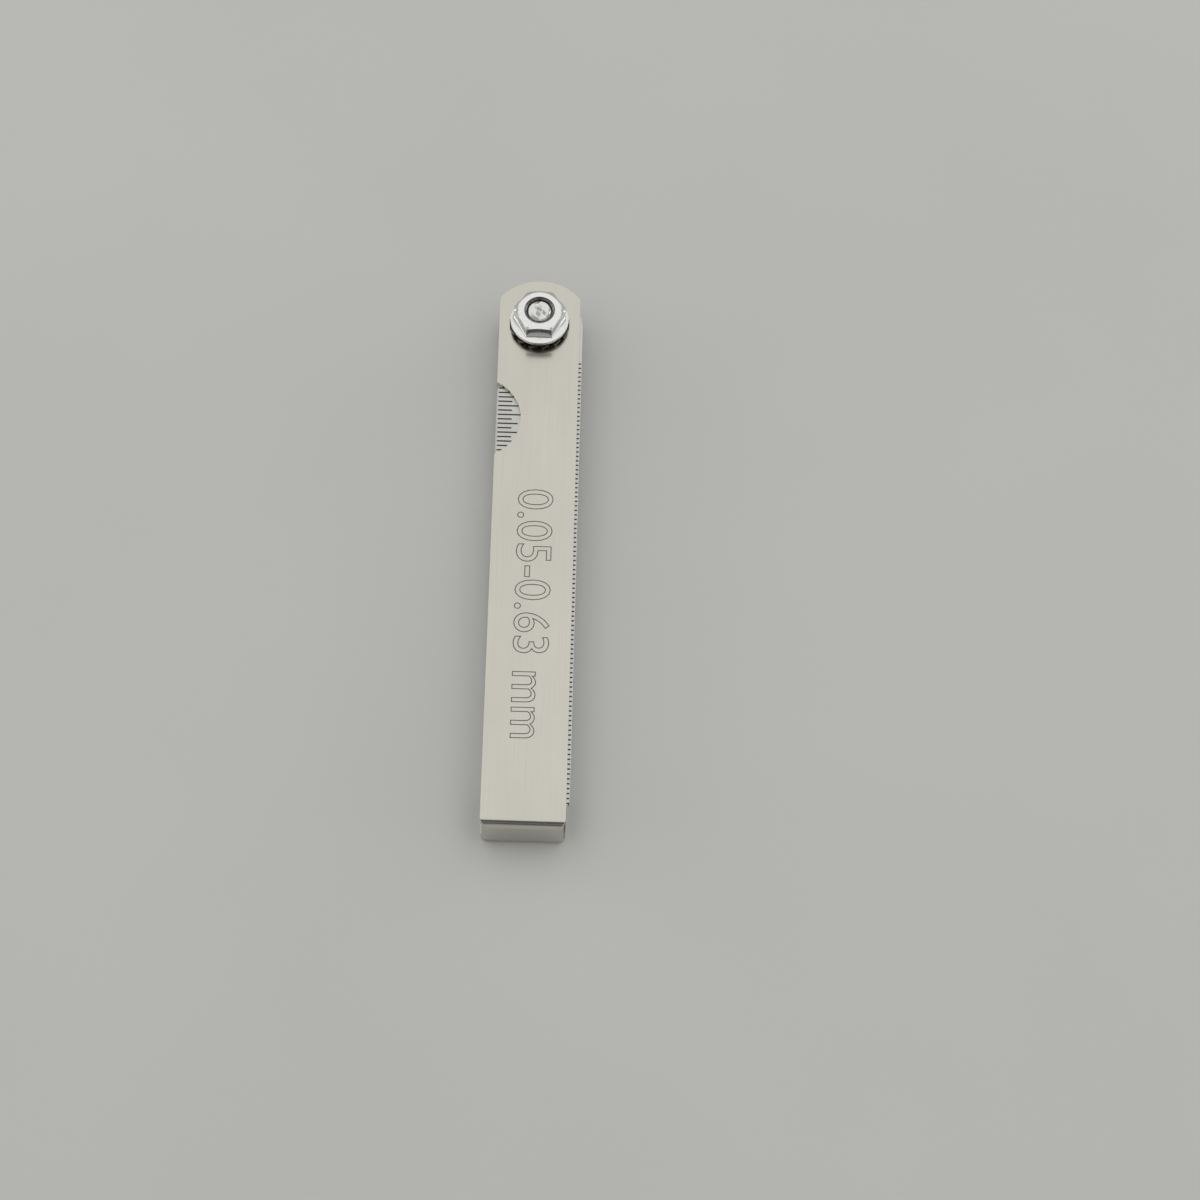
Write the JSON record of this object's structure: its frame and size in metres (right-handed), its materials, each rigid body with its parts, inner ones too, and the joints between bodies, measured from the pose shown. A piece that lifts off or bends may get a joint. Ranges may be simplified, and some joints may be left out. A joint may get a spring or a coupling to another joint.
{
  "type": "feeler gauge",
  "caption": "Pocket feeler gauge: graded steel leaves and a ruler leaf that swing out of a folded sheet holder about a pivot clamped by a flange nut.",
  "frame": {"origin": "on the pivot axis at the flat of the screw head", "axes": "+Z along the pivot from the screw head to the nut, -Y along the holder towards its folded end, +X towards the ruler leaf's proud edge"},
  "size_m": [0.0132, 0.0942, 0.0125],
  "materials": {
    "plated_sheet": "satin nickel plate with a fine lengthwise grain",
    "zinc_plate": "bright zinc plate",
    "nut_plate": "bright plate",
    "washer_steel": "dull zinc-plated spring steel",
    "ruler_steel": "satin steel with dark etched graduations",
    "blade_steel": "tempered spring steel, ground and lightly oiled"
  },
  "bodies": {
    "holder": {"holder": "plated_sheet", "pivot_screw": "zinc_plate"},
    "blade_0_63mm": {"blade_0_63mm": "blade_steel"},
    "blade_0_55mm": {"blade_0_55mm": "blade_steel"},
    "blade_0_50mm": {"blade_0_50mm": "blade_steel"},
    "blade_0_45mm": {"blade_0_45mm": "blade_steel"},
    "blade_0_40mm": {"blade_0_40mm": "blade_steel"},
    "blade_0_35mm": {"blade_0_35mm": "blade_steel"},
    "blade_0_33mm": {"blade_0_33mm": "blade_steel"},
    "blade_0_30mm": {"blade_0_30mm": "blade_steel"},
    "blade_0_28mm": {"blade_0_28mm": "blade_steel"},
    "blade_0_20mm": {"blade_0_20mm": "blade_steel"},
    "blade_0_15mm": {"blade_0_15mm": "blade_steel"},
    "blade_0_13mm": {"blade_0_13mm": "blade_steel"},
    "blade_0_10mm": {"blade_0_10mm": "blade_steel"},
    "blade_0_08mm": {"blade_0_08mm": "blade_steel"},
    "blade_0_05mm": {"blade_0_05mm": "blade_steel"},
    "ruler_leaf": {"ruler_leaf": "ruler_steel"},
    "lock_washer": {"lock_washer": "washer_steel"},
    "flange_nut": {"flange_nut": "nut_plate"}
  },
  "joints": [
    {"name": "blade_0_63mm_swing", "type": "hinge", "parent": "holder", "child": "blade_0_63mm", "pos_m": [0, 0, 0.00234], "axis": [0, 0, 1], "continuous": true},
    {"name": "blade_0_55mm_swing", "type": "hinge", "parent": "holder", "child": "blade_0_55mm", "pos_m": [0, 0, 0.00297], "axis": [0, 0, 1], "continuous": true},
    {"name": "blade_0_50mm_swing", "type": "hinge", "parent": "holder", "child": "blade_0_50mm", "pos_m": [0, 0, 0.00352], "axis": [0, 0, 1], "continuous": true},
    {"name": "blade_0_45mm_swing", "type": "hinge", "parent": "holder", "child": "blade_0_45mm", "pos_m": [0, 0, 0.00402], "axis": [0, 0, 1], "continuous": true},
    {"name": "blade_0_40mm_swing", "type": "hinge", "parent": "holder", "child": "blade_0_40mm", "pos_m": [0, 0, 0.00448], "axis": [0, 0, 1], "continuous": true},
    {"name": "blade_0_35mm_swing", "type": "hinge", "parent": "holder", "child": "blade_0_35mm", "pos_m": [0, 0, 0.00488], "axis": [0, 0, 1], "continuous": true},
    {"name": "blade_0_33mm_swing", "type": "hinge", "parent": "holder", "child": "blade_0_33mm", "pos_m": [0, 0, 0.00526], "axis": [0, 0, 1], "continuous": true},
    {"name": "blade_0_30mm_swing", "type": "hinge", "parent": "holder", "child": "blade_0_30mm", "pos_m": [0, 0, 0.0056], "axis": [0, 0, 1], "continuous": true},
    {"name": "blade_0_28mm_swing", "type": "hinge", "parent": "holder", "child": "blade_0_28mm", "pos_m": [0, 0, 0.00592], "axis": [0, 0, 1], "continuous": true},
    {"name": "blade_0_20mm_swing", "type": "hinge", "parent": "holder", "child": "blade_0_20mm", "pos_m": [0, 0, 0.00619], "axis": [0, 0, 1], "continuous": true},
    {"name": "blade_0_15mm_swing", "type": "hinge", "parent": "holder", "child": "blade_0_15mm", "pos_m": [0, 0, 0.00639], "axis": [0, 0, 1], "continuous": true},
    {"name": "blade_0_13mm_swing", "type": "hinge", "parent": "holder", "child": "blade_0_13mm", "pos_m": [0, 0, 0.00656], "axis": [0, 0, 1], "continuous": true},
    {"name": "blade_0_10mm_swing", "type": "hinge", "parent": "holder", "child": "blade_0_10mm", "pos_m": [0, 0, 0.00671], "axis": [0, 0, 1], "continuous": true},
    {"name": "blade_0_08mm_swing", "type": "hinge", "parent": "holder", "child": "blade_0_08mm", "pos_m": [0, 0, 0.00683], "axis": [0, 0, 1], "continuous": true},
    {"name": "blade_0_05mm_swing", "type": "hinge", "parent": "holder", "child": "blade_0_05mm", "pos_m": [0, 0, 0.00692], "axis": [0, 0, 1], "continuous": true},
    {"name": "ruler_swing", "type": "hinge", "parent": "holder", "child": "ruler_leaf", "pos_m": [0, 0, 0.00723], "axis": [0, 0, 1], "continuous": true},
    {"name": "nut_lift", "type": "slide", "parent": "holder", "child": "lock_washer", "axis": [0, 0, 1], "range_m": [0, 0.003]},
    {"name": "nut_turn", "type": "hinge", "parent": "lock_washer", "child": "flange_nut", "pos_m": [0, 0, 0.01011], "axis": [0, 0, 1], "range_deg": [0, 1542.86]}
  ],
  "couplings": [
    {"joint": "nut_turn", "follows": "nut_lift", "rad_per_m": 8976}
  ]
}
